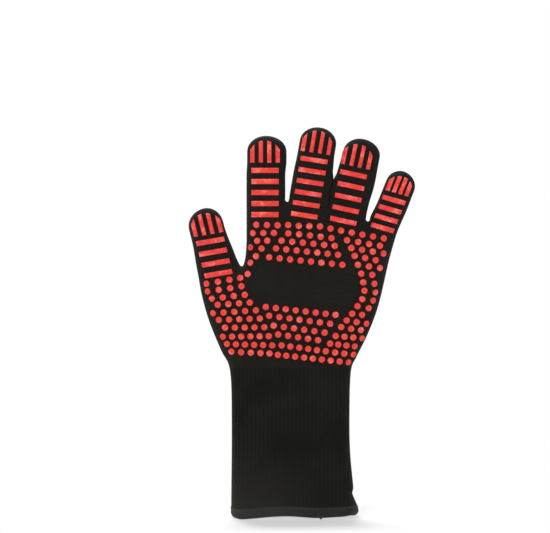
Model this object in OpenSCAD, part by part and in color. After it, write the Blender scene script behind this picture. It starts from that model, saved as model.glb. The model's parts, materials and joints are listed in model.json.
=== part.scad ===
// Heat resistant grill glove for the left hand, standing on the hem of its long cuff.
// Palm side faces -Y, thumb towards -X, fingertips up. Origin: middle of the hand opening, on the hem.

/* [Cloth] */
// Thickness of the knitted outer layer
shell_wall = 2; // [1.6:0.1:2.4]
// Thickness of the cotton lining
lining_wall = 1.2; // [1:0.1:1.4]
// Looseness between the outer layer and the lining
slip_gap = 0.25; // [0.2:0.05:0.3]
// Height of the silicone print above the cloth
print_t = 0.7; // [0.5:0.1:0.8]

/* [Cuff] */
// Width of the cuff
cuff_w = 106; // [102:1:108]
// Depth of the cuff from palm side to back
cuff_t = 24; // [22:1:26]
// Height of the wrist crease above the hem's lower edge
wrist_z = 134; // [130:1:135]
// Height of the folded hem band
hem_h = 10; // [8:0.5:12]
// Thickness of the hem's knitted tape
hem_wall = 1; // [0.8:0.1:1.2]
// How far the wrist bends each way
wrist_bend = 30; // [20:1:30]

/* [Hand] */
// Depth of the palm and fingers from palm side to back
hand_t = 18; // [17:0.5:19]
// Radius of the rounded sides
side_r = 11; // [10.5:0.5:12]
// Height of the cloth web between the index, middle and ring fingers
web_z = 280; // [278:0.5:280.5]

/* [Fingers] */
// Across position of the root crease of the thumb, index, middle, ring and little finger
root_x = [-64.5, -21.5, 16.5, 53.5, 84]; // [-66:0.5:86]
// Height of each root crease
root_z = [226, 289, 288, 284, 265.5]; // [225:0.5:290]
// Lean of each finger away from upright, positive towards the little finger
lean = [-14, 0, 10, 12.5, 22]; // [-15:0.5:23]
// Width of each finger
finger_w = [33, 34, 33, 34, 26]; // [24:0.5:34]
// Length from each root crease to the middle crease
base_len = [20, 20, 20, 21, 18]; // [17:0.5:22]
// Length from each middle crease to the fingertip
tip_len = [37, 37, 46, 38, 34]; // [33:0.5:46]
// How far each finger crease bends towards the palm
finger_bend = 60; // [45:1:60]
// Depth of the folding line below the palm side of a finger
crease_depth = 2.8; // [2.4:0.1:2.8]

/* [Silicone print] */
// Width of the cross bars on each finger
bar_w = [25.5, 24, 24, 24, 20]; // [18:0.5:27]
// Height of a cross bar on each finger
bar_h = [5, 4.8, 4.8, 4.8, 4.4]; // [4.2:0.1:5]
// Distance between cross bars on each finger
bar_pitch = [10, 9.8, 9.9, 10.6, 8.9]; // [8.8:0.1:10.8]
// Width of the lengthwise bars on a fingertip
tip_bar_w = 4.2; // [3.8:0.1:4.6]
// Margin of bare cloth round the lengthwise bars
tip_margin = 4.5; // [4:0.5:5]
// Diameter of a grip dot
dot_d = 6.2; // [5.8:0.1:6.4]

/* [Hem stitching] */
// Diameter of the sewing thread
thread_d = 0.8; // [0.6:0.1:1]
// Distance between stitches
stitch_pitch = 4; // [3.5:0.5:5]

/* [Hidden] */
$fn = 48;
FINGERS = ["thumb", "index", "middle", "ring", "little"];

knit_colour = "#1c1c1c";
lining_colour = "#d9d3c4";
silicone_colour = "#e0342c";
thread_colour = "#2a2a2a";

far = 200;                                     // reach of the cutting shapes
wrap_zone = 4.1;                               // width of the rounded strip beside an edge
side_flat = 0.3;                               // how much of each rounded side is left flat
cutter_out = 1.5;                              // how far the rounding cutters stand outside the cloth
joint_gap = 0.4;                               // clearance across every crease
lining_out = shell_wall + slip_gap;            // inset of the lining's outer face
lining_in = lining_out + lining_wall;          // inset of the lining's inner face
hinge_y = -hand_t / 2 + crease_depth;          // folding line of the finger creases
cuff_corner = 10;                              // radius of the cuff's long edges
fold_gap = 0.1;                                // clearance inside the hem's fold
inner_drop = 2;                                // how much lower the hem's inner turn ends
stitch_drop = 1.5;                             // distance of the stitches from the hem's top edge
stitch_share = 0.6;                            // part of each stitch step that shows as thread
thread_gap = 0.02;                             // clearance between the thread and the tape
tip_bars = 4;                                  // lengthwise bars on a fingertip
tip_span = 26 / 34;                            // share of the finger's width that they cover
tip_gap = 1.2;                                 // bare cloth between the cross bars and the lengthwise bars
tip_round = 1.5;                               // how far the lengthwise bars' rounded end passes their width
root_bars = [1, 2, 2, 2, 1];                   // cross bars below each root crease
base_bars = [2, 2, 2, 2, 2];                   // cross bars between the two creases
tip_cross = [1, 1, 2, 1, 1];                   // cross bars above the middle crease
print_shift = [0, -1, -2, -3, 0];              // how far the print sits off each finger's middle

// Points on the palm's outline as [x, z], seen from the palm side
heel_low = [-54, 134];
heel_high = [-71, 184];
edge_low = [54, 134];
edge_mid = [69, 162];
thumb_web_z = 225;
little_web_z = 263;
round_len = [[far, 9], [60, 8], [10, 8], [8, 18], [8, 0]];   // how far each root's two rounded sides reach down

// ---- shapes ----

// Rounded rectangle, centred, with true arcs
module rounded_rect(w, h, r) {
    square([w - 2 * r, h], center = true);
    square([w, h - 2 * r], center = true);
    for (sx = [-1, 1], sy = [-1, 1])
        translate([sx * (w / 2 - r), sy * (h / 2 - r)]) circle(r);
}

// Plate standing across Y, from an outline drawn in X and Z
module across_y(t) {
    rotate([90, 0, 0]) linear_extrude(t, center = true) children();
}

// Prism along X, from an outline drawn in Y and Z
module across_x(w) {
    rotate([90, 0, 90]) linear_extrude(w, center = true) children();
}

// Cross section with flat faces and bulging sides, from side x0 to side x1, drawn in X and Y
module padded_section(x0, x1, inset) {
    r = side_r - inset + side_flat;
    intersection() {
        translate([x0 + inset, -hand_t / 2 + inset]) square([x1 - x0 - 2 * inset, hand_t - 2 * inset]);
        union() {
            translate([x0 + side_r, -r]) square([x1 - x0 - 2 * side_r, 2 * r]);
            for (x = [x0 + side_r, x1 - side_r]) translate([x, 0]) circle(r);
        }
    }
}

// ---- creases ----

// Space above (+1) or below (-1) a crease that folds about a line at y
module crease_side(y, bend, side, both_ways = false) {
    rise = tan(bend / 2);
    start = joint_gap / 2;
    back_rise = both_ways ? rise : 0;
    across_x(2 * far) scale([1, side])
        polygon([[y, start], [far, start + (far - y) * back_rise], [far, far],
                 [-far, far], [-far, start + (far + y) * rise]]);
}

// ---- fingers, in their own frame: root crease at z = 0, finger along +Z ----

module at_root(i) {
    translate([root_x[i], 0, root_z[i]]) rotate([0, lean[i], 0]) children();
}

module finger_plan(i, top) {
    r = finger_w[i] / 2 + 1;
    translate([-r, -far]) square([2 * r, top - r + far]);
    translate([0, top - r]) circle(r);
}

module finger_profile(top, t) {
    r = t / 2 - 1;
    half = t / 2 + 1;
    translate([-half, -far]) square([2 * half, top - r + far]);
    translate([-half + r, top - r - 1]) square([2 * (half - r), r + 1]);
    for (s = [-1, 1]) translate([s * (half - r), top - r]) circle(r);
}

module finger_column(i, inset, below, above) {
    translate([0, 0, -below]) linear_extrude(above + below)
        padded_section(-finger_w[i] / 2, finger_w[i] / 2, inset);
}

module finger_envelope(i, inset) {
    top = base_len[i] + tip_len[i] - inset;
    intersection() {
        finger_column(i, inset, 10, top);
        across_y(far) finger_plan(i, top);
        across_x(far) finger_profile(top, hand_t - 2 * inset);
    }
}

module base_space(i) {
    intersection() {
        crease_side(hinge_y, finger_bend, 1);
        translate([0, 0, base_len[i]]) crease_side(hinge_y, finger_bend, -1);
    }
}

module tip_space(i) {
    translate([0, 0, base_len[i]]) crease_side(hinge_y, finger_bend, 1);
}

module hollow_base(i, outer, inner) {
    at_root(i) intersection() {
        difference() {
            finger_column(i, outer, 5, base_len[i] + 10);
            finger_column(i, inner, 6, base_len[i] + 12);
        }
        base_space(i);
    }
}

module hollow_tip(i, outer, inner) {
    at_root(i) intersection() {
        difference() {
            finger_envelope(i, outer);
            finger_envelope(i, inner);
        }
        tip_space(i);
    }
}

// ---- palm ----

// A side of the outline is [point, heading], with the cloth on the right of the heading
function unit(a) = [sin(a), cos(a)];
function shifted(side, inset) = [side[0] + inset * [cos(side[1]), -sin(side[1])], side[1]];
function heading(a, b) = atan2(b[0] - a[0], b[1] - a[1]);
function cross2(a, b) = a[0] * b[1] - a[1] * b[0];
function meet(s1, s2) = s1[0] + unit(s1[1]) * cross2(s2[0] - s1[0], unit(s2[1])) / cross2(unit(s1[1]), unit(s2[1]));

function root_point(i, u, v) = [root_x[i] + u * cos(lean[i]) + v * sin(lean[i]),
                                root_z[i] - u * sin(lean[i]) + v * cos(lean[i])];
function left_of(i) = [root_point(i, -finger_w[i] / 2, 0), lean[i]];
function top_of(i, lip) = [root_point(i, 0, lip), lean[i] + 90];
function right_of(i) = [root_point(i, finger_w[i] / 2, 0), lean[i] + 180];
function web_at(z) = [[0, z], 90];
little_edge = root_point(4, finger_w[4] / 2, 0);

// The palm's outline from the heel up round the finger roots and down; lip lets the hollow run through
function outline(inset, lip) = let (sides = [
        shifted([heel_low, heading(heel_low, heel_high)], inset),
        shifted(left_of(0), inset), top_of(0, lip), shifted(right_of(0), inset),
        shifted(web_at(thumb_web_z), inset),
        shifted(left_of(1), inset), top_of(1, lip), shifted(right_of(1), inset),
        shifted(web_at(web_z), inset),
        shifted(left_of(2), inset), top_of(2, lip), shifted(right_of(2), inset),
        shifted(web_at(web_z), inset),
        shifted(left_of(3), inset), top_of(3, lip), shifted(right_of(3), inset),
        shifted(web_at(little_web_z), inset),
        shifted(left_of(4), inset), top_of(4, lip),
        shifted([little_edge, heading(little_edge, edge_mid)], inset),
        shifted([edge_mid, heading(edge_mid, edge_low)], inset),
        [[0, wrist_z - 20 - lip], -90]
    ], n = len(sides))
    [for (k = [0:n - 1]) meet(sides[k], sides[(k + 1) % n])];

// Takes off the square corners along a straight side between v0 and v1 past its point
module round_side(side, inset, v0, v1) {
    translate([side[0][0], 0, side[0][1]]) rotate([0, side[1], 0]) translate([0, 0, v0]) difference() {
        translate([-cutter_out, -side_r - 2, 0]) cube([side_r, 2 * side_r + 4, v1 - v0]);
        translate([side_r, 0, -1]) cylinder(h = v1 - v0 + 2, r = side_r - inset + side_flat);
    }
}

module palm_body(inset, lip) {
    t = hand_t - 2 * inset;
    difference() {
        across_y(t) polygon(outline(inset, lip));
        round_side([heel_low, heading(heel_low, heel_high)], inset, -far, far);
        round_side([edge_mid, heading(edge_mid, edge_low)], inset, -far, far);
        round_side([little_edge, heading(little_edge, edge_mid)], inset, -far, far);
        for (i = [0:4]) {
            if (round_len[i][0] > 0) round_side(left_of(i), inset, -round_len[i][0], 10);
            if (round_len[i][1] > 0) round_side(right_of(i), inset, -10, round_len[i][1]);
        }
    }
}

// Everything above a root crease, as wide as the finger
module above_crease(i) {
    at_root(i) intersection() {
        translate([-finger_w[i] / 2 - 1, -far / 2, -15]) cube([finger_w[i] + 2, far, 30]);
        translate([0, 0, -joint_gap]) crease_side(hinge_y, -finger_bend, 1);
    }
}

module hollow_palm(outer, inner) {
    difference() {
        intersection() {
            difference() {
                palm_body(outer, 3);
                palm_body(inner, 4);
            }
            translate([0, 0, wrist_z]) crease_side(0, wrist_bend, 1, both_ways = true);
        }
        for (i = [0:4]) above_crease(i);
    }
}

// ---- cuff ----

module cuff_section(inset) {
    rounded_rect(cuff_w - 2 * inset, cuff_t - 2 * inset, cuff_corner - inset);
}

module hollow_cuff(outer, inner) {
    intersection() {
        translate([0, 0, hem_wall]) linear_extrude(wrist_z) difference() {
            cuff_section(outer);
            cuff_section(inner);
        }
        translate([0, 0, wrist_z]) crease_side(0, wrist_bend, -1, both_ways = true);
    }
}

module cuff_shell() { color(knit_colour) hollow_cuff(0, shell_wall); }
module cuff_lining() { color(lining_colour) hollow_cuff(lining_out, lining_in); }

// Knitted tape folded round the raw edges of the shell and the lining
module cuff_hem() {
    inner_h = hem_h - inner_drop;
    color(knit_colour) difference() {
        linear_extrude(hem_h) cuff_section(-fold_gap - hem_wall);
        translate([0, 0, hem_wall]) linear_extrude(hem_h) difference() {
            cuff_section(-fold_gap);
            cuff_section(lining_in + fold_gap);
        }
        translate([0, 0, -1]) linear_extrude(hem_h + 2) cuff_section(lining_in + fold_gap + hem_wall);
        translate([0, 0, inner_h]) linear_extrude(hem_h) cuff_section(lining_in - lining_wall / 2);
    }
}

// Thread lying on the hem tape, stitch by stitch, on the palm side, the back and the two ends
module hem_stitching() {
    flat_w = cuff_w - 2 * cuff_corner;
    count = floor(flat_w / stitch_pitch);
    out = fold_gap + hem_wall + thread_d / 2 + thread_gap;
    stitch_len = stitch_pitch * stitch_share;
    z = hem_h - stitch_drop;
    color(thread_colour) {
        for (side = [-1, 1], k = [0:count - 1])
            translate([(k - (count - 1) / 2) * stitch_pitch, side * (cuff_t / 2 + out), z])
                rotate([0, 90, 0]) cylinder(h = stitch_len, d = thread_d, center = true, $fn = 24);
        for (side = [-1, 1])
            translate([side * (cuff_w / 2 + out), 0, z])
                rotate([90, 0, 0]) cylinder(h = stitch_len, d = thread_d, center = true, $fn = 24);
    }
}

// ---- silicone bars, drawn in a finger's own frame ----

module cross_bar(i, z) {
    translate([print_shift[i], z]) square([bar_w[i], bar_h[i]], center = true);
}

module root_bar_outline(i) {
    for (k = [1:root_bars[i]]) cross_bar(i, -(k - 0.5) * bar_pitch[i]);
}

module base_bar_outline(i) {
    for (k = [1:base_bars[i]]) cross_bar(i, (k - 0.5) * base_len[i] / base_bars[i]);
}

module tip_bar_outline(i) {
    first = tip_cross[i] * bar_pitch[i];
    span = finger_w[i] * tip_span;
    step = (span - tip_bar_w) / (tip_bars - 1);
    top = tip_len[i] - tip_margin;
    r = span / 2 + tip_round;
    translate([0, base_len[i]]) {
        for (k = [1:tip_cross[i]]) cross_bar(i, (k - 0.5) * bar_pitch[i]);
        intersection() {
            for (k = [0:tip_bars - 1])
                translate([print_shift[i] / 2 - span / 2 + k * step, first + tip_gap])
                    square([tip_bar_w, tip_len[i]]);
            translate([print_shift[i] / 2, 0]) union() {
                translate([0, top - r]) circle(r);
                translate([-r, 0]) square([2 * r, top - r]);
            }
        }
    }
}

// Prints an outline on the palm side (-1) or the back (+1)
module printed(side) {
    translate([0, side * (hand_t + print_t) / 2, 0]) across_y(print_t) children();
}

module base_bars_both(i) {
    color(silicone_colour) at_root(i) for (side = [-1, 1]) printed(side) base_bar_outline(i);
}

module tip_bars_both(i) {
    color(silicone_colour) at_root(i) for (side = [-1, 1]) printed(side) tip_bar_outline(i);
}

module root_bars_on(side) {
    color(silicone_colour) for (i = [0:4]) at_root(i) printed(side) root_bar_outline(i);
}

// ---- silicone dots ----

// Straight rows of dots on the palm as [x, z] of the first dot, [x, z] of the last, count
dot_rows = [
    [-31, 265.5, 26.5, 263.5, 7], [36, 261.5, 84, 252, 6],
    [-34, 258, -15, 258, 3], [-2, 258, 37, 253, 5], [51, 251, 81, 246, 4],
    [-30, 251, -21, 251, 2], [-8, 251, 40, 246, 6], [55, 244, 84, 239, 4],
    [-36, 245, -26, 244, 2], [-13, 244, 43, 238, 7], [58, 237, 77, 233, 3],
    [-31, 237, -31, 237, 1], [-19, 236, 47, 229, 8], [61, 229, 81, 226, 3],
    [64, 221, 74, 220, 2], [66, 213, 76, 212, 2], [67, 206, 77, 204, 2], [65, 198, 75, 197, 2],
    [61, 192, 71, 190, 2], [56, 185, 65, 184, 2], [51, 179, 69, 176, 3], [46, 173, 64, 170, 3],
    [41, 165, 65, 163, 4], [36, 158, 58, 155.5, 4], [32, 151, 57, 148, 4],
    [-36, 231, -36, 231, 1], [-39, 220.5, -39, 220.5, 1],
    [-75.5, 211.5, -44.5, 217.5, 4], [-74.5, 205, -44, 210, 4], [-71, 199, -41, 202, 4],
    [-65.5, 193, -36.5, 195, 4], [-70, 185, -31, 188, 5], [-64.5, 179, -27.5, 180.5, 5],
    [-59, 172, -23.5, 172.5, 5], [-61, 163.5, -19.5, 164.5, 6], [-57.5, 157, -16.5, 156, 6],
    [-22, 191, 41, 184, 8], [-19, 183, 36, 176, 7], [-15, 174, 31, 168, 6],
    [-11, 166, 25, 161, 5], [-8, 156, 24, 152, 5],
    [-53.5, 150, -18.5, 148.5, 5], [-12, 147.5, 52.5, 141, 9]
];

function dots_of(row) = [for (k = [0:row[4] - 1])
    let (t = row[4] > 1 ? k / (row[4] - 1) : 0)
    [row[0] + t * (row[2] - row[0]), row[1] + t * (row[3] - row[1])]];

all_dots = [for (row = dot_rows) each dots_of(row)];

// Distance from a point to a side of the outline
function off(side, p) = cross2(unit(side[1]), p - side[0]) * -1;
function wraps(p) = min(off([heel_low, heading(heel_low, heel_high)], p), off(left_of(0), p),
        off([edge_mid, heading(edge_mid, edge_low)], p), off([little_edge, heading(little_edge, edge_mid)], p),
        p[1] > thumb_web_z - 5 ? off(left_of(1), p) : far) < dot_d / 2 + wrap_zone;

// Dots on the flat are discs; the ones beside an edge follow the cloth round the side
module dots_on(side) {
    reach = hand_t / 2 + 2;
    color(silicone_colour) {
        for (p = all_dots) if (!wraps(p)) translate([p[0], side * (hand_t + print_t) / 2, p[1]])
            rotate([90, 0, 0]) cylinder(h = print_t, d = dot_d, center = true);
        intersection() {
            difference() {
                for (p = all_dots) if (wraps(p)) translate([p[0], side * reach, p[1]])
                    rotate([side * 90, 0, 0]) cylinder(h = reach - 1, d = dot_d);
                palm_body(0, 3);
            }
            palm_body(-print_t, 3);
        }
    }
}

// ---- nodes ----

module palm_shell() { color(knit_colour) hollow_palm(0, shell_wall); }
module palm_lining() { color(lining_colour) hollow_palm(lining_out, lining_in); }

module finger_node(part, i) {
    if (part == "base_shell") color(knit_colour) hollow_base(i, 0, shell_wall);
    if (part == "base_lining") color(lining_colour) hollow_base(i, lining_out, lining_in);
    if (part == "base_bars") base_bars_both(i);
    if (part == "tip_shell") color(knit_colour) hollow_tip(i, 0, shell_wall);
    if (part == "tip_lining") color(lining_colour) hollow_tip(i, lining_out, lining_in);
    if (part == "tip_bars") tip_bars_both(i);
}

cuff_shell();
cuff_lining();
cuff_hem();
hem_stitching();
palm_shell();
palm_lining();
dots_on(-1);  // palm_dots
dots_on(1);  // back_dots
root_bars_on(-1);  // palm_root_bars
root_bars_on(1);  // back_root_bars
for (i = [0:4], part = ["base_shell", "base_lining", "base_bars", "tip_shell", "tip_lining", "tip_bars"])
    finger_node(part, i);
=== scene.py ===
import json
import math
import bpy
import bmesh
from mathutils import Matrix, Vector, noise
from mathutils.bvhtree import BVHTree
from mathutils.kdtree import KDTree
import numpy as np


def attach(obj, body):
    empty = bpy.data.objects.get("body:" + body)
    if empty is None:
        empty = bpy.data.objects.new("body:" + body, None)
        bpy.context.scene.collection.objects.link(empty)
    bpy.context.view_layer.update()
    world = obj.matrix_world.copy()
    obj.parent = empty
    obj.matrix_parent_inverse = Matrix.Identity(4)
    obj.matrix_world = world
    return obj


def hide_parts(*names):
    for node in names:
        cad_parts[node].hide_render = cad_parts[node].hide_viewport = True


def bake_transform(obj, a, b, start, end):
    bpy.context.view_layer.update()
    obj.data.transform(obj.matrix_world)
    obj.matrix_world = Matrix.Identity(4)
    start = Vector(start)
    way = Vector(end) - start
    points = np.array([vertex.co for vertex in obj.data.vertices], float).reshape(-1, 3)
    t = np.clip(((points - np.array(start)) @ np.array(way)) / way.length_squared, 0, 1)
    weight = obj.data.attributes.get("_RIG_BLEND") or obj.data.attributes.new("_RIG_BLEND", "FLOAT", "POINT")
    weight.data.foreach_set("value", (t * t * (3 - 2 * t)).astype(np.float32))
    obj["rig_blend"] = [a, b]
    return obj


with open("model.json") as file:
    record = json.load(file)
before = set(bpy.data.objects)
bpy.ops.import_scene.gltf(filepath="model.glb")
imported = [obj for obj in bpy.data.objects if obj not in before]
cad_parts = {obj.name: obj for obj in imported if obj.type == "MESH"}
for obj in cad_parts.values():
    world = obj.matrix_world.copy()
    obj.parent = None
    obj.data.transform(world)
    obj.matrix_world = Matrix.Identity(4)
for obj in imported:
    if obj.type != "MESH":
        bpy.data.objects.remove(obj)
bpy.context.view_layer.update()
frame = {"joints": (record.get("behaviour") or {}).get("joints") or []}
mm = 0.001


def smooth(edge0, edge1, x):
    t = max(0.0, min(1.0, (x - edge0) / (edge1 - edge0)))
    return t * t * (3 - 2 * t)


def lerp(a, b, t):
    return a + (b - a) * t


def table(stops, x):   # the value at x, eased between (x, value) stops
    if x <= stops[0][0]:
        return stops[0][1]
    for (x0, y0), (x1, y1) in zip(stops, stops[1:]):
        if x <= x1:
            return lerp(y0, y1, smooth(x0, x1, x))
    return stops[-1][1]


def curveThrough(points, steps=5):   # a smooth open line through a few points
    line = []
    for k in range(len(points) - 1):
        a, b = points[k], points[k + 1]
        before, after = points[max(k - 1, 0)], points[min(k + 2, len(points) - 1)]
        for n in range(steps):
            t = n / steps
            shares = (-t + 2 * t ** 2 - t ** 3, 2 - 5 * t ** 2 + 3 * t ** 3,
                      t + 4 * t ** 2 - 3 * t ** 3, t ** 3 - t ** 2)
            near = (before, a, b, after)
            line.append(tuple(0.5 * sum(share * p[i] for share, p in zip(shares, near)) for i in (0, 1)))
    return line + [points[-1]]


def meshOf(bm, name):
    mesh = bpy.data.meshes.new(name)
    bm.to_mesh(mesh)
    bm.free()
    return mesh


def inScene(name, data):   # a new object in the scene
    obj = bpy.data.objects.new(name, data)
    bpy.context.scene.collection.objects.link(obj)
    return obj


# the fingers, in mm, each in its own frame: across it, and along it from the root crease
fingerShape = {
    "thumb": {"left": [(0, 19), (28, 17.2)], "right": [(0, 18), (36, 14.4)], "top": 54.6, "tip": 15.5},
    "index": {"left": [(20, 17.6), (32, 17)], "right": [(20, 17.3), (32, 18.4)], "top": 54.8, "tip": 14},
    "middle": {"left": [(20, 17.4), (38, 16.8)], "right": [(0, 17), (22, 17.7), (44, 16.2)],
               "top": 64.1, "tip": 14},
    "ring": {"left": [(16, 17.4), (50, 15.8)], "right": [(0, 17), (20, 18.2), (48, 17.4)],
             "top": 58.3, "tip": 13.5},
    "little": {"left": [(0, 13.6), (16, 12.5)], "right": [(0, 14.2), (18, 14.7), (40, 14.3)],
               "top": 49.9, "tip": 13},
}
fingerNames = list(fingerShape)


def jointOf(name):
    return next(j for j in frame["joints"] if j["name"] == name)


for name, shape in fingerShape.items():
    root, mid = jointOf(name + "_root_bend"), jointOf(name + "_middle_bend")
    shape["root"] = (root["pos_m"][0] / mm, root["pos_m"][2] / mm)
    shape["across"] = (root["axis"][0], root["axis"][2])
    shape["along"] = (-root["axis"][2], root["axis"][0])
    shape["base"] = math.dist(root["pos_m"], mid["pos_m"]) / mm


def fromFinger(name, u, v):
    s = fingerShape[name]
    return (s["root"][0] + u * s["across"][0] + v * s["along"][0],
            s["root"][1] + u * s["across"][1] + v * s["along"][1])


def toFinger(name, x, z):
    s = fingerShape[name]
    dx, dz = x - s["root"][0], z - s["root"][1]
    return dx * s["across"][0] + dz * s["across"][1], dx * s["along"][0] + dz * s["along"][1]


def fingerEdge(name, start, end):
    # up the left side from v = start, round the tip, and down the right side to v = end
    s = fingerShape[name]
    shoulder = s["top"] - s["tip"]
    step, arcSteps = 3, 24
    points, v = [], start
    while v < shoulder:
        points.append(fromFinger(name, -table(s["left"], v), v))
        v += step
    for k in range(arcSteps + 1):
        a = math.pi * k / arcSteps
        side = s["left"] if k < arcSteps / 2 else s["right"]
        u = -math.cos(a) * table(side, shoulder)
        points.append(fromFinger(name, u, shoulder + s["tip"] * math.sin(a)))
    v = shoulder - step / 2
    while v > end:
        points.append(fromFinger(name, table(s["right"], v), v))
        v -= step
    return points


# the rest of the glove's flat outline, in mm, from the cuff's mouth up the thumb's side and down the other
outlineShape = {
    "left": [(-53, -24), (-53.2, 12), (-52.6, 80), (-53.9, 132), (-62, 151), (-72.4, 176.5), (-78.9, 199),
             (-82.4, 218)],
    "right": [(94.6, 253), (88.6, 231), (79.6, 192), (69.6, 165), (60, 145.5), (54.9, 132), (53.8, 94),
              (54.4, 60), (57.5, 27)],
    "flare": [(57.4, 24.4), (56, 21.6), (58.1, 16.6), (61.4, 8), (62.2, 4), (62.2, -24)],
    "thumbWeb": [(-45.4, 229), (-43.8, 225.8), (-42, 227.6), (-40.4, 233), (-39.4, 242)],
    "indexWeb": [(-4.4, 285.4), (-3, 282.6), (-1.2, 285.6)],
    "middleWeb": [(33.4, 282.4), (35.2, 280.2), (36.6, 283)],
    "ringWeb": [(67.8, 267.4), (69.4, 264.6), (71, 267.2)],
}


def gloveOutline():
    o = outlineShape
    points = curveThrough(o["left"])
    points += fingerEdge("thumb", 2, 3) + o["thumbWeb"]
    points += fingerEdge("index", -38, 0) + o["indexWeb"]
    points += fingerEdge("middle", 2, -1) + o["middleWeb"]
    points += fingerEdge("ring", 1, -9) + o["ringWeb"]
    points += fingerEdge("little", 1, -2) + curveThrough(o["right"]) + o["flare"]
    for _ in range(2):   # rounds the corners a little
        points = [p for a, b in zip(points, points[1:] + points[:1])
                  for p in ((lerp(a[0], b[0], 0.25), lerp(a[1], b[1], 0.25)),
                            (lerp(a[0], b[0], 0.75), lerp(a[1], b[1], 0.75)))]
    return points


outline = gloveOutline()
edgeStep = 0.5
outlineSide = []
edgePlaces = []
for a, b in zip(outline, outline[1:] + outline[:1]):
    length = math.dist(a, b)
    steps = max(1, math.ceil(length / edgeStep))
    out = ((a[1] - b[1]) / length, (b[0] - a[0]) / length)   # it runs clockwise seen from the palm side
    for k in range(steps):
        t = (k + 0.5) / steps
        edgePlaces.append((lerp(a[0], b[0], t), lerp(a[1], b[1], t), 0))
        outlineSide.append((a, b, out))
edgeTree = KDTree(len(edgePlaces))
for k, place in enumerate(edgePlaces):
    edgeTree.insert(place, k)
edgeTree.balance()


def toEdge(x, z):
    # distance inside the outline, and the unit direction outwards
    best = None
    for co, k, dist in edgeTree.find_n((x, z, 0), 3):
        a, b, out = outlineSide[k]
        t = ((x - a[0]) * (b[0] - a[0]) + (z - a[1]) * (b[1] - a[1])) / math.dist(a, b) ** 2
        t = max(0, min(1, t))
        near = (lerp(a[0], b[0], t), lerp(a[1], b[1], t))
        d = math.dist(near, (x, z))
        if best is None or d < best[0]:
            best = (d, near, out)
    d, near, out = best
    inside = (near[0] - x) * out[0] + (near[1] - z) * out[1]
    if d < 0.8:
        return (d if inside > 0 else -d), out
    g = ((near[0] - x) / d, (near[1] - z) / d)
    return (d, g) if inside > 0 else (-d, (-g[0], -g[1]))


# half thickness and rounding of the filled glove by height, in mm, with its own pair for each finger
fullness = {
    "half": [(-10, 11.6), (20, 11.2), (70, 10), (130, 9), (175, 10.6), (215, 11.2), (262, 9.8), (292, 9)],
    "round": [(-10, 11.5), (70, 11), (130, 10.5), (175, 14.5), (215, 15), (262, 13), (292, 12)],
    "finger": {"thumb": (9.2, 12), "index": (9, 12), "middle": (9, 12), "ring": (9, 12),
               "little": (7.8, 9.8)},
    "fromRoot": (-22, 6),   # a finger's own values come in between these heights, and this far beside it
    "beside": (30, 20),
    "tipThinner": 0.9,
    "slab": 5,
    "voxel": 1.15,
    "smoothing": 3,
}


def fullAt(x, z):
    half, rounding = table(fullness["half"], z), table(fullness["round"], z)
    for name, (h, r) in fullness["finger"].items():
        u, v = toFinger(name, x, z)
        w = smooth(*fullness["fromRoot"], v) * smooth(*fullness["beside"], abs(u))
        half, rounding = lerp(half, h, w), lerp(rounding, r, w)
        half -= fullness["tipThinner"] * smooth(24, fingerShape[name]["top"], v) * w
    return half, rounding


def swell(x, z, side, lift):
    # from the flat pattern to the filled glove, where lift is the distance from the middle plane
    d, g = toEdge(x, z)
    half, rounding = fullAt(x, z)
    slab = fullness["slab"]
    q = (lift + d) / (rounding + slab)
    a = max(0, min(1, q)) * math.pi / 2
    new = rounding * (1 - math.cos(a)) if q < 1 else d
    return Vector((x + g[0] * (d - new), side * half * math.sin(a), z + g[1] * (d - new)))


drape = {
    "hemWave": [(-50, 0.1), (-2, 3.1), (26, 1.6), (58, 3.4)],   # how far the palm side's lower edge rises
    "backWave": 0.4,
    "waveTop": 34,
    "middle": (-6, 6),   # from the back's wave to the palm side's
    "corner": 4.2,
    "cornerFrom": (38, 56),
    "folds": 0.8,
    "foldsFull": 9,
    "broad": (0.021, 0.02, 0.018),
    "small": (0.06, 0.03, 0.035),
    "smallShare": 0.45,
    "flare": 1.6,
    "flareAcross": (20, 58),
    "flareBelow": (30, 6),
    "flareWave": 0.16,
}
# the middle and ring fingers touch: where, in the middle finger's frame, and how far each side moves
touch = {"across": 18.45, "slope": 0.04, "from": (-9, -2), "to": (28, 19), "reach": 10, "full": 1.6,
         "move": 1.63}


def settle(p):   # small sags and folds
    x, y, z = p
    side = 1 if y > 0 else -1
    full = min(1, abs(y) / drape["foldsFull"])
    a, b, c = drape["broad"]
    broad = noise.noise(Vector((x * a, y * b, z * c)))
    a, b, c = drape["small"]
    small = noise.noise(Vector((x * a + 9, y * b, z * c)))
    y += side * full * drape["folds"] * (broad + drape["smallShare"] * small)
    flare = drape["flare"] * smooth(*drape["flareBelow"], z) * smooth(*drape["flareAcross"], x)
    y += flare * math.sin((x - drape["flareAcross"][0]) * drape["flareWave"])
    return Vector((x, y, z))


def leanTogether(p):
    u, v = toFinger("middle", p.x / mm, p.z / mm)
    off = u - touch["across"] - touch["slope"] * v
    if touch["from"][0] < v < touch["to"][0] and abs(off) < touch["reach"]:
        share = smooth(touch["reach"], touch["full"], abs(off))
        share *= smooth(*touch["from"], v) * smooth(*touch["to"], v)
        p.x -= math.copysign(touch["move"] * share, off) * mm


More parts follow.
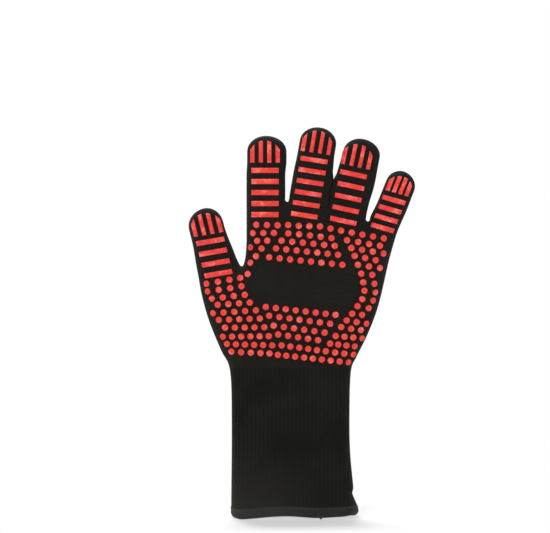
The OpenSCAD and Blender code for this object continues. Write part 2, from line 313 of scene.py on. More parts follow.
def hung(p):   # the hem's lower edge waves on the palm side
    p = p.copy()
    behind = drape["backWave"] * (1 + math.sin(p.x / mm * 0.06 + 1))
    wave = lerp(behind, table(drape["hemWave"], p.x / mm), smooth(*drape["middle"], -p.y / mm))
    low = max(0, min(1, 1 - p.z / mm / drape["corner"]))
    corner = 1 - math.sqrt(1 - low * low)   # rounds the two lower corners
    p.x -= math.copysign(corner * drape["corner"] * mm, p.x) * smooth(*drape["cornerFrom"], abs(p.x / mm))
    p.z += wave * mm * smooth(drape["waveTop"], 0, p.z / mm)
    return p


def slabMesh():   # the flat pattern as an even, closed slab
    bm = bmesh.new()
    face = bm.faces.new([bm.verts.new((x * mm, -fullness["slab"] * mm, z * mm)) for x, z in outline])
    grown = bmesh.ops.extrude_face_region(bm, geom=[face])
    bmesh.ops.translate(bm, verts=[v for v in grown["geom"] if isinstance(v, bmesh.types.BMVert)],
                        vec=(0, 2 * fullness["slab"] * mm, 0))
    bmesh.ops.triangulate(bm, faces=bm.faces[:])
    bmesh.ops.recalc_face_normals(bm, faces=bm.faces[:])
    return evenMesh(bm, fullness["voxel"])


def evenMesh(bm, voxel):
    obj = inScene("pattern", meshOf(bm, "pattern"))
    remesh = obj.modifiers.new("remesh", "REMESH")
    remesh.mode, remesh.voxel_size = "VOXEL", voxel * mm
    return baked(obj)


def baked(obj):   # the mesh with its modifiers applied, while the object goes
    mesh = bpy.data.meshes.new_from_object(obj.evaluated_get(bpy.context.evaluated_depsgraph_get()))
    bpy.data.objects.remove(obj)
    return mesh


knitTurn = {"fromRoot": (-26, 8), "beside": (26, 19)}   # where the stitches turn to a finger's own way


def knitCoordinates(x, z, g, over):
    # the stitches run up the palm and along each finger, and on round the sides
    across, along = x, z
    for name, s in fingerShape.items():
        u, v = toFinger(name, x, z)
        share = smooth(*knitTurn["fromRoot"], v) * smooth(*knitTurn["beside"], abs(u))
        across, along = lerp(across, s["root"][0] + u, share), lerp(along, s["root"][1] + v, share)
    return across + g[0] * over, along + g[1] * over


def fillGlove():
    bm = bmesh.new()
    bm.from_mesh(slabMesh())
    acrossLayer = bm.verts.layers.float.new("knitAcross")
    alongLayer = bm.verts.layers.float.new("knitAlong")
    for v in bm.verts:
        x, y, z = v.co / mm
        lift = min(abs(y), fullness["slab"])
        d, g = toEdge(x, z)
        v[acrossLayer], v[alongLayer] = knitCoordinates(x, z, g, fullness["slab"] - lift)
        v.co = settle(swell(x, z, -1 if y < 0 else 1, lift)) * mm
    for _ in range(fullness["smoothing"]):
        bmesh.ops.smooth_vert(bm, verts=bm.verts[:], factor=0.5,
                              use_axis_x=True, use_axis_y=True, use_axis_z=True)
    for v in bm.verts:
        leanTogether(v.co)
    return bm


skin = fillGlove()
print("filled glove:", len(skin.verts), "vertices")

# the glove is cut into the pieces that move apart
cuts = {"bend": 3.6, "hem": 9.6, "cuff": 136.5, "wristFrom": 114, "wristTo": 154, "besideFinger": 1.8}


def beyondFinger(name, u, v):   # how far outside the finger's sides, in mm
    s = fingerShape[name]
    return max(-table(s["left"], v) - u, u - table(s["right"], v))


def fingerAt(x, z):
    found = []
    for name in fingerNames:
        u, v = toFinger(name, x, z)
        if v > -cuts["bend"] and beyondFinger(name, u, v) < cuts["besideFinger"]:
            found.append((beyondFinger(name, u, v), name, v))
    return min(found) if found else None


def sliceFaces(bm, faces, co, normal):
    geom = list({e for f in faces for e in f.edges} | {v for f in faces for v in f.verts}) + list(faces)
    bmesh.ops.bisect_plane(bm, geom=geom, dist=1e-7, plane_co=[c * mm for c in co], plane_no=normal)


def pieceAt(x, z):
    if z < cuts["hem"]:
        return "hem"
    if z < cuts["cuff"]:
        return "cuff"
    hit = fingerAt(x, z)
    if hit is None:
        return "palm"
    return hit[1] + ("Lower" if hit[2] < fingerShape[hit[1]]["base"] / 2 else "Upper")


pieceNames = ["hem", "cuff", "palm"] + [name + part for name in fingerNames for part in ("Lower", "Upper")]


def cutUp(bm, reach):
    sliceFaces(bm, bm.faces[:], (0, 0, 0), (0, 0, 1))
    bmesh.ops.delete(bm, geom=[v for v in bm.verts if v.co.z < -1e-6], context="VERTS")
    for z in (cuts["hem"], cuts["cuff"]):
        near = [f for f in bm.faces if abs(f.calc_center_median().z / mm - z) < reach]
        sliceFaces(bm, near, (0, 0, z), (0, 0, 1))
    for name, s in fingerShape.items():
        for level in (-cuts["bend"], s["base"] / 2):
            x, z = fromFinger(name, 0, level)
            faces = []
            for f in bm.faces:
                c = f.calc_center_median() / mm
                u, v = toFinger(name, c.x, c.z)
                if abs(v - level) < reach and beyondFinger(name, u, v) < cuts["besideFinger"]:
                    faces.append(f)
            sliceFaces(bm, faces, (x, 0, z), (s["along"][0], 0, s["along"][1]))
    for f in bm.faces:
        c = f.calc_center_median() / mm
        f.material_index = pieceNames.index(pieceAt(c.x, c.z))
    bm.normal_update()


def liningOf(bm, inset, voxel):   # a second, coarser skin inside the first
    inner = bm.copy()
    inner.normal_update()
    for v in inner.verts:
        v.co -= v.normal * inset * mm
    even = bmesh.new()
    even.from_mesh(evenMesh(inner, voxel))
    for layer in ("knitAcross", "knitAlong"):
        even.verts.layers.float.new(layer)
    for v in even.verts:
        v[even.verts.layers.float["knitAcross"]] = v.co.x / mm
        v[even.verts.layers.float["knitAlong"]] = v.co.z / mm
    return even


layers = {"wall": 2, "liningInset": 2.25, "liningWall": 1.2, "liningVoxel": 2.2,
          "hemProud": 0.3, "hemWall": 4, "hemRound": 0.7}
lining = liningOf(skin, layers["liningInset"], layers["liningVoxel"])
cutUp(skin, reach=4)
cutUp(lining, reach=6)
skinTree = BVHTree.FromBMesh(skin)
print("cut into", len(pieceNames), "pieces and their linings")


def newPiece(name, mesh, material):
    mesh.name = name
    obj = inScene(name, mesh)
    mesh.materials.clear()
    mesh.materials.append(material)
    mesh.polygons.foreach_set("material_index", [0] * len(mesh.polygons))
    mesh.polygons.foreach_set("use_smooth", [True] * len(mesh.polygons))
    return obj


def crispRims(mesh, limit=55):   # keeps the cut edges from shading the cloth beside them
    bm = bmesh.new()
    bm.from_mesh(mesh)
    for e in bm.edges:
        if len(e.link_faces) == 2 and e.calc_face_angle(0) > math.radians(limit):
            e.smooth = False
    bm.to_mesh(mesh)
    bm.free()


def clothPiece(name, source, piece, wall, material, proud=0, rounded=0):
    bm = source.copy()
    keep = pieceNames.index(piece)
    bmesh.ops.delete(bm, geom=[f for f in bm.faces if f.material_index != keep], context="FACES")
    if proud:
        for v in bm.verts:
            v.co += v.normal * proud * mm
    obj = inScene(name, meshOf(bm, name))
    solid = obj.modifiers.new("wall", "SOLIDIFY")
    solid.thickness, solid.offset = wall * mm, -1
    if rounded:
        edge = obj.modifiers.new("edge", "BEVEL")
        edge.width, edge.segments = rounded * mm, 3
        edge.limit_method, edge.angle_limit = "ANGLE", math.radians(60)
    mesh = baked(obj)
    crispRims(mesh)
    for v in mesh.vertices:
        v.co = hung(v.co)
    return newPiece(name, mesh, material)


# shader maths: a wrapped socket that plain sums can be written with
class Value:
    def __init__(self, finish, socket):
        self.finish, self.socket = finish, socket

    def sum(self, operation, a, b=0.0):
        return self.finish.node("ShaderNodeMath", {"operation": operation}, {0: a, 1: b})

    def __add__(self, other):
        return self.sum("ADD", self, other)

    def __sub__(self, other):
        return self.sum("SUBTRACT", self, other)

    def __rsub__(self, other):
        return self.sum("SUBTRACT", other, self)

    def __mul__(self, other):
        return self.sum("MULTIPLY", self, other)

    def __truediv__(self, other):
        return self.sum("DIVIDE", self, other)

    def part(self):   # what is left after the whole number
        return self.sum("FRACT", self)

    def size(self):
        return self.sum("ABSOLUTE", self)

    def wave(self):
        return self.sum("SINE", self)

    def largest(self, other):
        return self.sum("MAXIMUM", self, other)

    def between(self, low, high):   # 0 at low, 1 at high, eased
        return self.finish.node("ShaderNodeMapRange", {"interpolation_type": "SMOOTHSTEP"},
                                {"Value": self, "From Min": low, "From Max": high})


class Finish:   # a material's node tree that is being filled, or the world's
    def __init__(self, material, shader="Principled BSDF"):
        material.use_nodes = True
        self.material = material
        self.tree = material.node_tree
        self.shader = self.tree.nodes[shader]

    def node(self, kind, settings=None, sockets=None, output=0):
        made = self.tree.nodes.new(kind)
        for key, value in (settings or {}).items():
            setattr(made, key, value)
        self.plug(made, sockets or {})
        return Value(self, made.outputs[output])

    def plug(self, made, sockets):
        for key, value in sockets.items():
            if isinstance(value, Value):
                self.tree.links.new(value.socket, made.inputs[key])
            else:
                made.inputs[key].default_value = value

    def attribute(self, name):
        return self.node("ShaderNodeAttribute", {"attribute_name": name}, output="Fac")

    def place(self):
        return self.node("ShaderNodeTexCoord", output="Object")

    # the mask of the side that is painted as lit, the thumb's side, facing the light from the left
    def litThumbSide(self):   # 1 on the thumb's side of the cuff, 0 on the other
        across = self.node("ShaderNodeSeparateXYZ", {}, {0: self.place()}, output="X")
        return 1 - across.between(-0.03, 0.04)

    def noise(self, where, scale, detail=3.0, roughness=0.5, stretch=(1, 1, 1)):
        where = self.node("ShaderNodeMapping", {}, {"Vector": where, "Scale": stretch})
        return self.node("ShaderNodeTexNoise", {}, {"Vector": where, "Scale": scale, "Detail": detail,
                                                   "Roughness": roughness})

    def blend(self, share, a, b):   # from colour a to colour b
        return self.node("ShaderNodeMix", {"data_type": "RGBA"}, {0: share, 6: a, 7: b}, output=2)

    def bump(self, height, depth, strength=1.0, under=None):   # depth in mm
        sockets = {"Height": height, "Distance": depth * mm, "Strength": strength}
        if under:
            sockets["Normal"] = under
        return self.node("ShaderNodeBump", {}, sockets)

    def done(self, **sockets):
        self.plug(self.shader, {key.replace("_", " "): value for key, value in sockets.items()})
        return self.material


def rgb(red, green, blue):   # from the usual 0 to 255 numbers
    shares = [c / 255 for c in (red, green, blue)]
    return tuple(((c + 0.055) / 1.055) ** 2.4 if c > 0.04 else c / 12.92 for c in shares) + (1,)


knitLook = {"wale": 1.9, "course": 1.5, "dark": rgb(18, 16, 13), "light": rgb(46, 42, 37), "relief": 0.3}


def stitches(f, across, along, wale, course):   # rows of small V stitches, 0 to 1 high
    column = (across / wale).part() - 0.5
    leg = 1 - (column.size() * 4 - 1).size()
    row = (along / course + column.size() * 1.1).part()
    return leg.between(0, 0.75) * (1 - (row * 2 - 1).size()).between(0, 0.7)


def knitFinish():
    f = Finish(bpy.data.materials.new("outerKnit"))
    look = knitLook
    stitch = stitches(f, f.attribute("knitAcross"), f.attribute("knitAlong"), look["wale"], look["course"])
    yarn = f.noise(f.place(), 900, 2)
    patch = f.noise(f.place(), 28, 3)
    tone = stitch * 0.55 + (yarn - 0.5) * 0.5 + (patch - 0.4) * 0.45
    normal = f.bump(stitch + yarn * 0.35, look["relief"])
    return f.done(Base_Color=f.blend(tone.between(-0.1, 1.05), look["dark"], look["light"]), Normal=normal,
                  Roughness=(0.92 - stitch * 0.08), Sheen_Weight=0.1, Sheen_Roughness=0.4,
                  Sheen_Tint=rgb(190, 186, 180), Specular_IOR_Level=0.12)


ribLook = {"rib": 3.6, "course": 1.8, "relief": 0.3,
           "dark": rgb(10, 10, 8), "light": rgb(30, 30, 28), "paleLowLitSide": rgb(44, 43, 40)}


def ribFinish():
    f = Finish(bpy.data.materials.new("cuffRib"))
    look = ribLook
    across, along = f.attribute("knitAcross"), f.attribute("knitAlong")
    wander = f.noise(f.place(), 14, 2) * 2.2
    rib = ((across + wander) * (2 * math.pi / look["rib"])).wave() * 0.5 + 0.5
    stitch = stitches(f, across, along, look["rib"] / 2, look["course"])
    yarn = f.noise(f.place(), 900, 2)
    patch = f.noise(f.place(), 22, 3)
    clear = patch.between(0.42, 0.66)   # the ribs show in some places more than in others
    tone = rib * (clear * 0.3 + 0.08) + stitch * 0.3 + (yarn - 0.5) * 0.5 + (patch - 0.45) * 0.5 + 0.15
    # the cuff is paler towards its bottom, and much more so on the thumb side, where light from the left is
    # painted in
    height = f.node("ShaderNodeSeparateXYZ", {}, {0: f.place()}, output="Z")
    paleLowLitSide = (1 - height.between(0.01, 0.075)) * 0.75 + (1 - height.between(0.006, 0.024)) * 0.3
    paleLowLitSide = paleLowLitSide * (f.litThumbSide() * 1.15 + 0.2)
    colour = f.blend(tone.between(-0.1, 1.0), look["dark"], look["light"])
    colour = f.blend(paleLowLitSide * (yarn * 0.5 + stitch * 0.4 + 0.3), colour, look["paleLowLitSide"])
    normal = f.bump(rib * (clear * 0.6 + 0.4) + stitch * 0.5 + yarn * 0.25, look["relief"])
    return f.done(Base_Color=colour, Normal=normal,
                  Roughness=(0.94 - stitch * 0.06), Sheen_Weight=0.1, Sheen_Roughness=0.4,
                  Sheen_Tint=rgb(190, 186, 180), Specular_IOR_Level=0.12)


hemLook = {"weave": 1.2, "dark": rgb(34, 34, 33), "light": rgb(60, 60, 58), "relief": 0.22}


def hemFinish():
    f = Finish(bpy.data.materials.new("hemTape"))
    look = hemLook
    across, along = f.attribute("knitAcross"), f.attribute("knitAlong")
    slant = ((across * 0.7 + along * 1.6) / look["weave"]).part() * 2 - 1
    twill = (1 - slant.size()).between(0, 0.8)
    yarn = f.noise(f.place(), 700, 2)
    patch = f.noise(f.place(), 35, 2)
    # painted light and shade: the tape is lighter on the thumb side and darker on the other
    tone = twill * 0.5 + (yarn - 0.5) * 0.4 + (patch - 0.45) * 0.5 + (f.litThumbSide() - 0.5) * 0.55
    return f.done(Base_Color=f.blend(tone.between(-0.1, 1.0), look["dark"], look["light"]),
                  Normal=f.bump(twill + yarn * 0.3, look["relief"]), Roughness=0.88, Sheen_Weight=0.2,
                  Sheen_Roughness=0.4, Sheen_Tint=rgb(200, 196, 190), Specular_IOR_Level=0.25)


# the "rim" red is painted shade, put along the prints' edges and down their sides
siliconeLook = {"red": rgb(247, 58, 48), "deep": rgb(216, 40, 32), "pale": rgb(255, 136, 122),
                "rim": rgb(96, 12, 10)}


def siliconeFinish(name, dots):
    f = Finish(bpy.data.materials.new(name))
    look = siliconeLook
    middle = f.attribute("fromRim")   # 0 at the rim, 1 in the middle
    cloud = f.noise(f.place(), 90, 4, 0.6, (1, 1, 1.6))
    fleck = f.noise(f.place(), 520, 3, 0.65)
    pale = cloud.between(0.48, 0.68) * (fleck.between(0.4, 0.62) * 0.85 + 0.12)
    colour = f.blend((cloud * 0.6 + fleck * 0.5).between(0.35, 0.7), look["deep"], look["red"])
    colour = f.blend(pale, colour, look["pale"])
    if dots:
        # painted highlight: a paler ring round each dot's dome
        ring = middle.between(0.1, 0.3) * (1 - middle.between(0.45, 0.75))
        colour = f.blend(ring * 0.1, f.blend(0.25, colour, look["deep"]), look["pale"])
    # painted shade: each print darkens along its edge and down its sides
    colour = f.blend((1 - middle.between(0.0, 0.12)) * 0.75, colour, look["rim"])
    return f.done(Base_Color=colour, Normal=f.bump(cloud * 0.5 + fleck * 0.5, 0.22, 0.7),
                  Roughness=(fleck * 0.3 + 0.32), Coat_Weight=0.1, Coat_Roughness=0.35,
                  Specular_IOR_Level=0.4)


liningLook = {"wale": 2.2, "course": 1.8, "dark": rgb(176, 166, 146), "light": rgb(224, 217, 202),
              "relief": 0.35}


def liningFinish():
    f = Finish(bpy.data.materials.new("cottonLining"))
    look = liningLook
    stitch = stitches(f, f.attribute("knitAcross"), f.attribute("knitAlong"), look["wale"], look["course"])
    yarn = f.noise(f.place(), 600, 3)
    patch = f.noise(f.place(), 30, 3)
    tone = stitch * 0.5 + yarn * 0.35 + patch * 0.3
    return f.done(Base_Color=f.blend(tone.between(0.1, 1.0), look["dark"], look["light"]),
                  Normal=f.bump(stitch + yarn * 0.5, look["relief"]), Roughness=0.95,
                  Sheen_Weight=0.2, Sheen_Roughness=0.5, Specular_IOR_Level=0.2)


threadLook = {"dark": rgb(30, 30, 29), "light": rgb(66, 66, 63), "relief": 0.1}


def threadFinish():
    f = Finish(bpy.data.materials.new("sewingThread"))
    look = threadLook
    ply = f.noise(f.place(), 1400, 2, 0.5, (0.3, 1, 1))
    return f.done(Base_Color=f.blend(ply.between(0.3, 0.7), look["dark"], look["light"]), Roughness=0.7,
                  Normal=f.bump(ply, look["relief"]), Sheen_Weight=0.15, Specular_IOR_Level=0.35)


knit, rib, tape, cotton, thread = knitFinish(), ribFinish(), hemFinish(), liningFinish(), threadFinish()
silicone, siliconeDots = siliconeFinish("silicone", False), siliconeFinish("siliconeDots", True)
print("finishes made")


def bendAt(piece, name, level, lower, upper):
    a, b = fromFinger(name, 0, level - cuts["bend"]), fromFinger(name, 0, level + cuts["bend"])
    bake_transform(piece, lower, upper, start=(a[0] * mm, 0, a[1] * mm), end=(b[0] * mm, 0, b[1] * mm))


def bendAtWrist(piece):
    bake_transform(piece, "cuff", "hand", start=(0, 0, cuts["wristFrom"] * mm), end=(0, 0, cuts["wristTo"] * mm))


def standFor(piece, slot, *nodes):
    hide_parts(*nodes)


def makeCloth():
    proud, wall, thin = layers["hemProud"], layers["wall"], layers["liningWall"]
    hem = clothPiece("hemBand", skin, "hem", layers["hemWall"], tape, proud, layers["hemRound"])
    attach(hem, "cuff")
    standFor(hem, "hem_tape", "cuff_hem")
    for kind, source, thick, low, hand, slot in (("Shell", skin, wall, rib, knit, "outer_knit"),
                                                 ("Lining", lining, thin, cotton, cotton, "lining")):
        cuff = clothPiece("cuff" + kind, source, "cuff", thick, low)
        palm = clothPiece("palm" + kind, source, "palm", thick, hand)
        standFor(cuff, slot, "cuff_" + kind.lower())
        standFor(palm, slot, "palm_" + kind.lower())
        bendAtWrist(cuff)
        bendAtWrist(palm)
        for name, s in fingerShape.items():
            lower = clothPiece(name + "Lower" + kind, source, name + "Lower", thick, hand)
            upper = clothPiece(name + "Upper" + kind, source, name + "Upper", thick, hand)
            standFor(lower, slot, name + "_base_" + kind.lower())
            standFor(upper, slot, name + "_tip_" + kind.lower())
            bendAt(lower, name, 0, "hand", name + "_base")
            bendAt(upper, name, s["base"], name + "_base", name + "_tip")


makeCloth()
print("cloth pieces made")


def onCloth(x, z, side):   # the cloth straight behind a point and the way it faces, with side -1 for the palm
    place, normal, _, _ = skinTree.ray_cast(Vector((x * mm, side * 0.06, z * mm)), Vector((0, -side, 0)))
    return place, normal


# printed bars: rows across each finger from its lowest row up, then four bars along the tip, all in mm
barShape = {"high": 0.75, "sunk": 0.35, "edge": 0.3, "step": 1.7,
            "tipBars": 4, "tipRound": 1.5, "tipShare": 0.8, "rimFade": (-0.3, 1.2),
            "handBelow": -10, "lowerBelow": 8}   # which body a row is on, by its height over the root crease
prints = {
    "thumb": {"first": -5.2, "pitch": 9.9, "rows": 4, "width": 24.8, "bar": 4.6, "shift": -0.7,
              "tilt": -4.3, "tipFrom": 30.6, "tipTo": 50, "tipSpan": 26},
    "index": {"first": -15.6, "pitch": 9.8, "rows": 5, "width": 24, "bar": 4.8, "shift": -0.8, "tilt": 0,
              "tipFrom": 30.4, "tipTo": 49.9, "tipSpan": 26},
    "middle": {"first": -15.7, "pitch": 9.95, "rows": 6, "width": 23.9, "bar": 4.35, "shift": -1.2,
               "tilt": 1.3, "tipFrom": 40.4, "tipTo": 60.2, "tipSpan": 26},
    "ring": {"first": -17.2, "pitch": 10.6, "rows": 5, "width": 23.8, "bar": 4.4, "shift": -2.7, "tilt": 0.3,
             "tipFrom": 32, "tipTo": 52.2, "tipSpan": 26},
    "little": {"first": -4.3, "pitch": 8.9, "rows": 4, "width": 20.5, "bar": 4.5, "shift": 0, "tilt": 6,
               "tipFrom": 28.8, "tipTo": 44.8, "tipSpan": 20.5},
}


def addBar(bm, name, side, u0, u1, bottom, top):   # bottom and top give v at each u
    look, old = barShape, set(bm.verts)
    wide, tall = (max(2, round(size / look["step"])) for size in (u1 - u0, top(u0) - bottom(u0)))
    bmesh.ops.create_grid(bm, x_segments=wide, y_segments=tall, size=0.5)
    sheet = [v for v in bm.verts if v not in old]
    for v in sheet:
        u = lerp(u0, u1, v.co.x + 0.5)
        v.co = (u, lerp(bottom(u), top(u), v.co.y + 0.5), look["high"])
    rim = [e for e in {e for v in sheet for e in v.link_edges} if e.is_boundary]
    skirt = bmesh.ops.extrude_edge_only(bm, edges=rim)["geom"]
    for v in skirt:
        if isinstance(v, bmesh.types.BMVert):
            v.co.z = -look["sunk"]
    bmesh.ops.holes_fill(bm, edges=[e for e in skirt if isinstance(e, bmesh.types.BMEdge) and e.is_boundary])
    bmesh.ops.bevel(bm, geom=rim, offset=look["edge"], segments=2, profile=0.5, affect="EDGES", material=-1)
    rimLayer = bm.verts.layers.float["fromRim"]
    lean = math.tan(math.radians(prints[name]["tilt"]))
    for v in [v for v in bm.verts if v not in old]:
        u, w, h = v.co
        inside = min(u - u0, u1 - u, w - bottom(u), top(u) - w)
        x, z = fromFinger(name, u + prints[name]["shift"], w + u * lean)
        place, normal = onCloth(x, z, side)
        v.co = place + normal * h * mm
        # fromRim carries the painted shade at the bar's edges and sides
        v[rimLayer] = smooth(*look["rimFade"], inside) if h > look["high"] * 0.9 else 0


def addCrossBar(bm, name, side, row):
    look = prints[name]
    middle = look["first"] + row * look["pitch"]
    addBar(bm, name, side, -look["width"] / 2, look["width"] / 2,
           lambda u: middle - look["bar"] / 2, lambda u: middle + look["bar"] / 2)


def addTipBars(bm, name, side):   # their upper ends follow the round fingertip
    look = prints[name]
    wide = look["bar"] * barShape["tipShare"]
    step = (look["tipSpan"] - wide) / (barShape["tipBars"] - 1)
    r = look["tipSpan"] / 2 + barShape["tipRound"]
    for k in range(barShape["tipBars"]):
        u0 = -look["tipSpan"] / 2 + k * step
        addBar(bm, name, side, u0, u0 + wide, lambda u: look["tipFrom"],
               lambda u: look["tipTo"] - r + math.sqrt(r * r - u * u))


def emptyPrint():
    bm = bmesh.new()
    bm.verts.layers.float.new("fromRim")
    return bm


def printPiece(name, bm, finish):
    bmesh.ops.recalc_face_normals(bm, faces=bm.faces[:])
    mesh = meshOf(bm, name)
    crispRims(mesh)
    return newPiece(name, mesh, finish)


def makeBars():
    rootRows = {-1: emptyPrint(), 1: emptyPrint()}
    for name, look in prints.items():
        lower, upper = emptyPrint(), emptyPrint()
        for row in range(look["rows"]):
            level = look["first"] + row * look["pitch"]
            for side in (-1, 1):
                target = lower if level < barShape["lowerBelow"] else upper
                if level < barShape["handBelow"]:
                    target = rootRows[side]
                addCrossBar(target, name, side, row)
        for side in (-1, 1):
            addTipBars(upper, name, side)
        lower = printPiece(name + "LowerBars", lower, silicone)
        upper = printPiece(name + "UpperBars", upper, silicone)
        standFor(lower, "silicone", name + "_base_bars")
        standFor(upper, "silicone", name + "_tip_bars")
        bendAt(lower, name, 0, "hand", name + "_base")
        bendAt(upper, name, fingerShape[name]["base"], name + "_base", name + "_tip")
    for side, where in ((-1, "palm"), (1, "back")):
        piece = printPiece(where + "RootBars", rootRows[side], silicone)
        standFor(piece, "silicone", where + "_root_bars")
        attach(piece, "hand")


makeBars()
print("printed bars made")


def dotPlaces(node):   # the middle of each of a node's dots, in mm
    bm = bmesh.new()
    bm.from_mesh(bpy.data.objects[node].data)
    bmesh.ops.remove_doubles(bm, verts=bm.verts[:], dist=1e-6)
    places, left = [], set(bm.verts)
    while left:
        group, edge = set(), [left.pop()]
        while edge:
            v = edge.pop()
            group.add(v)
            for e in v.link_edges:
                other = e.other_vert(v)
                if other in left:
                    left.discard(other)
                    edge.append(other)
        xs, zs = [v.co.x for v in group], [v.co.z for v in group]
        places.append(((min(xs) + max(xs)) / 2 / mm, (min(zs) + max(zs)) / 2 / mm))
    bm.free()
    return sorted(places)


dotShape = {"sides": 12, "rings": [(3.08, -0.35), (3.08, 0.25), (2.72, 0.75), (1.5, 0.7), (0.8, 0.5)],
            "middle": (0, 205), "reach": 50, "drawIn": 0.72, "bow": 0.28, "slant": 0.35, "apart": 7.5}


def onThePalm(places):   # the print is drawn in a little towards the palm's middle, and no two dots touch
    look, drawn = dotShape, []
    for x, z in places:
        a, b = (x - look["middle"][0]) / look["reach"], (z - look["middle"][1]) / look["reach"]
        drawn.append(Vector((x - look["drawIn"] * a + look["bow"] * b * b,
                             z - look["drawIn"] * b + look["slant"] * a * b)))
    for k, p in enumerate(drawn):
        for q in drawn[k + 1:]:
            gap = (p - q).length
            if gap < look["apart"]:
                push = (p - q) * (look["apart"] / gap - 1) / 2
                p += push
                q -= push
    return drawn


def addDot(bm, x, z, side):
    centre, facing = onCloth(x, z, side)
    rings, rimLayer = dotShape["rings"], bm.verts.layers.float["fromRim"]
    reach = rings[0][0]
    made = bmesh.ops.create_circle(bm, segments=dotShape["sides"], radius=reach, cap_ends=True)["verts"]
    cap = made[0].link_faces[0]
    base = bmesh.ops.duplicate(bm, geom=[cap])   # closes the underside
    ringOf = {v: rings[0] for v in made + [v for v in base["geom"] if isinstance(v, bmesh.types.BMVert)]}
    for (r0, _), ring in zip(rings, rings[1:]):
        bmesh.ops.inset_individual(bm, faces=[cap], thickness=0)
        for v in cap.verts:
            v.co *= ring[0] / r0
            ringOf[v] = ring
    turn = facing.to_track_quat("Z", "Y")
    for v, (r, h) in ringOf.items():
        place, normal, _, _ = skinTree.find_nearest(centre + turn @ Vector((v.co.x * mm, v.co.y * mm, 0)))
        v.co = place + normal.lerp(facing, 0.4).normalized() * h * mm
        # fromRim carries the painted shade at the dot's edge and its painted highlight ring
        v[rimLayer] = (1 - r / reach) if h > 0.5 else 0
    for v in cap.verts:
        v[rimLayer] = 1


def makeDots():
    for side, where in ((-1, "palm"), (1, "back")):
        bm = emptyPrint()
        for x, z in onThePalm(dotPlaces(where + "_dots")):
            addDot(bm, x, z, side)
        bmesh.ops.remove_doubles(bm, verts=bm.verts[:], dist=1e-6)
        piece = printPiece(where + "Dots", bm, siliconeDots)
        standFor(piece, "silicone", where + "_dots")
        bendAtWrist(piece)


makeDots()
print("printed dots made")

hemSewing = {"step": 3.2, "stitch": 2.8, "thick": 0.55, "drop": 1.4, "bow": 0.12, "tailThick": (1.4, 0.7),
             # the loose ends, as places across, up and out of the tape
             "tails": [[(29, 3.2, 0.2), (28.4, 2.3, 0.9), (27.4, 0.9, 1.6)],
                       [(25.6, 3, 0.2), (26.2, 2.4, 0.8), (26.7, 1.7, 1.2)]]}


def hemSeam():   # the line where the hem's tape ends, walked once round, with the way out of the cloth
    seam = {pieceNames.index("hem"), pieceNames.index("cuff")}
    line = {e for e in skin.edges if {f.material_index for f in e.link_faces} == seam}
    v = min({v for e in line for v in e.verts}, key=lambda v: (v.co.y, v.co.x))
    walk = [v]
    while line:
        e = next((e for e in v.link_edges if e in line), None)
        if e is None:
            break
        line.discard(e)
        v = e.other_vert(v)
        walk.append(v)
    return [(hung(v.co), v.normal.copy()) for v in walk]


def makeHemThread():
    look, bm = hemSewing, bmesh.new()
    walk, since = hemSeam(), 0.0
    for (a, _), (b, out) in zip(walk, walk[1:]):
        since += (b - a).length / mm
        if since < look["step"]:
            continue
        since = 0.0
        along = (b - a).normalized()
        proud = (layers["hemProud"] + look["thick"] * 0.35) * mm
        centre = b - Vector((0, 0, look["drop"] * mm)) + out * proud
        made = bmesh.ops.create_uvsphere(bm, u_segments=6, v_segments=5, radius=0.5)["verts"]
        for v in made:
            far = v.co.z * look["stitch"]
            rise = v.co.x * look["thick"] - far ** 2 * look["bow"]
            v.co = centre + (along * far + out * rise + Vector((0, 0, v.co.y * look["thick"]))) * mm
    for tail in look["tails"]:
        rings = []
        for k, (x, z, out) in enumerate(tail):
            y = onCloth(x, 3, -1)[0].y - (layers["hemProud"] + out) * mm
            thick = lerp(*look["tailThick"], k / (len(tail) - 1)) * mm
            end = k in (0, len(tail) - 1)
            ring = bmesh.ops.create_circle(bm, segments=6, radius=thick, cap_ends=end)["verts"]
            bmesh.ops.translate(bm, verts=ring, vec=(x * mm, y, z * mm))
            rings.append(list({e for v in ring for e in v.link_edges}))
        for low, high in zip(rings, rings[1:]):
            bmesh.ops.bridge_loops(bm, edges=low + high)
    bmesh.ops.recalc_face_normals(bm, faces=bm.faces[:])
    piece = newPiece("hemThread", meshOf(bm, "hemThread"), thread)
    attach(piece, "cuff")
    standFor(piece, "thread", "hem_stitching")


makeHemThread()
print("hem sewn")

studio = {
    "aim": (-0.0135, -0.009, 0.2272), "distance": 1.157, "elevation": 2.5, "lens": 85,
    "ambient": 0.4, "floor": 0.9,
    # the floor's painted glow grows away from the glove's foot, painting its shadow out
    "fade": (0.028, 0.063),   # how far from the glove's foot its shadow fades out
    "fadeScale": (0.3, 1, 1),   # and so it reaches further to the sides
    # the floor also glows more under the foot, as painted light that lifts the shade under the hem's wave
    "foot": (0.009, 0.014),   # how deep the foot is, as the hem's wave shows the floor under it
    "floorGlow": {"near": 0.3, "under": 0.3, "far": 0.7},
    "lamps": [("key", (-0.8, -1.3, 1.25), 0.9, 13), ("fill", (1.2, -1.1, 0.6), 0.9, 4),
              ("back", (-0.22, 0.56, 1.55), 0.6, 18.5)],
}


def whiteToTheEye(f):   # 1 where the camera, or a gloss or glass ray, looks, and 0 for the light
    camera, gloss, glass = (f.node("ShaderNodeLightPath", output=name)
                            for name in ("Is Camera Ray", "Is Glossy Ray", "Is Transmission Ray"))
    return camera.largest(gloss).largest(glass)


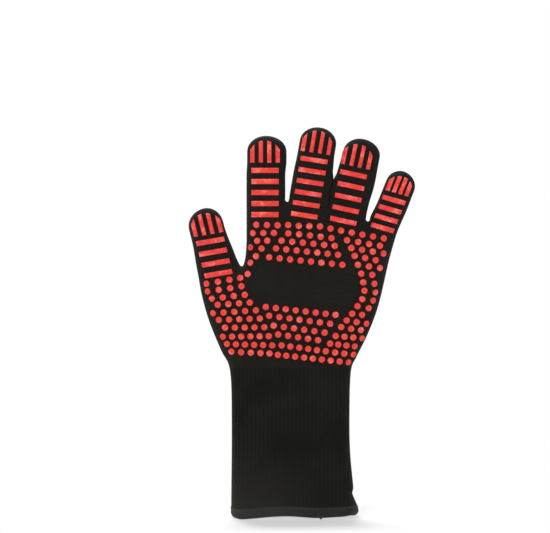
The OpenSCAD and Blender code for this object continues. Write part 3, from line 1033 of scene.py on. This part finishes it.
def makeFloor():
    f = Finish(bpy.data.materials.new("paleFloor"))
    grey = (studio["floor"],) * 3 + (1,)
    plain = f.node("ShaderNodeBsdfDiffuse", {}, {"Color": grey})
    glow = f.node("ShaderNodeEmission", {}, {"Color": (1, 1, 1, 1), "Strength": 1.0})
    long = f.node("ShaderNodeMapping", {}, {"Vector": f.place(), "Scale": studio["fadeScale"]})
    away = f.node("ShaderNodeVectorMath", {"operation": "LENGTH"}, {0: long}, output="Value")
    depth = f.node("ShaderNodeSeparateXYZ", {}, {0: f.place()}, output="Y").size()
    floorGlow = studio["floorGlow"]
    # painted light: the floor glows more far from the foot and under the hem, painting out the shadow and shade
    # there
    share = away.between(*studio["fade"]) * floorGlow["far"]
    share = share + (1 - depth.between(*studio["foot"])) * floorGlow["under"] + floorGlow["near"]
    both = f.node("ShaderNodeMixShader", {}, {0: whiteToTheEye(f) * share, 1: plain, 2: glow})
    f.plug(f.tree.nodes["Material Output"], {"Surface": both})
    bm = bmesh.new()
    bmesh.ops.create_grid(bm, x_segments=1, y_segments=1, size=8)
    mesh = meshOf(bm, "floor")
    newPiece("floor", mesh, f.material)


def makeWorld():
    world = bpy.data.worlds.new("studio")
    bpy.context.scene.world = world
    f = Finish(world, "Background")
    ambient = studio["ambient"]
    f.done(Color=(1, 1, 1, 1), Strength=whiteToTheEye(f) * (1 - ambient) + ambient)


def makeLamp(name, place, size, power):
    lamp = bpy.data.lights.new(name, "AREA")
    lamp.size, lamp.energy = size, power
    obj = inScene(name, lamp)
    obj.location = place
    obj.rotation_euler = (Vector(studio["aim"]) - Vector(place)).to_track_quat("-Z", "Y").to_euler()


def makeCamera():
    lens = bpy.data.cameras.new("camera")
    lens.lens = studio["lens"]
    camera = inScene("camera", lens)
    tilt = math.radians(studio["elevation"])
    back = Vector((0, -math.cos(tilt), math.sin(tilt)))
    camera.location = Vector(studio["aim"]) + back * studio["distance"]
    camera.rotation_euler = (math.pi / 2 - tilt, 0, 0)
    bpy.context.scene.camera = camera


makeFloor()
makeWorld()
for lamp in studio["lamps"]:
    makeLamp(*lamp)
makeCamera()
bpy.context.scene.view_settings.view_transform = "Standard"
skin.free()
lining.free()
print("studio set")
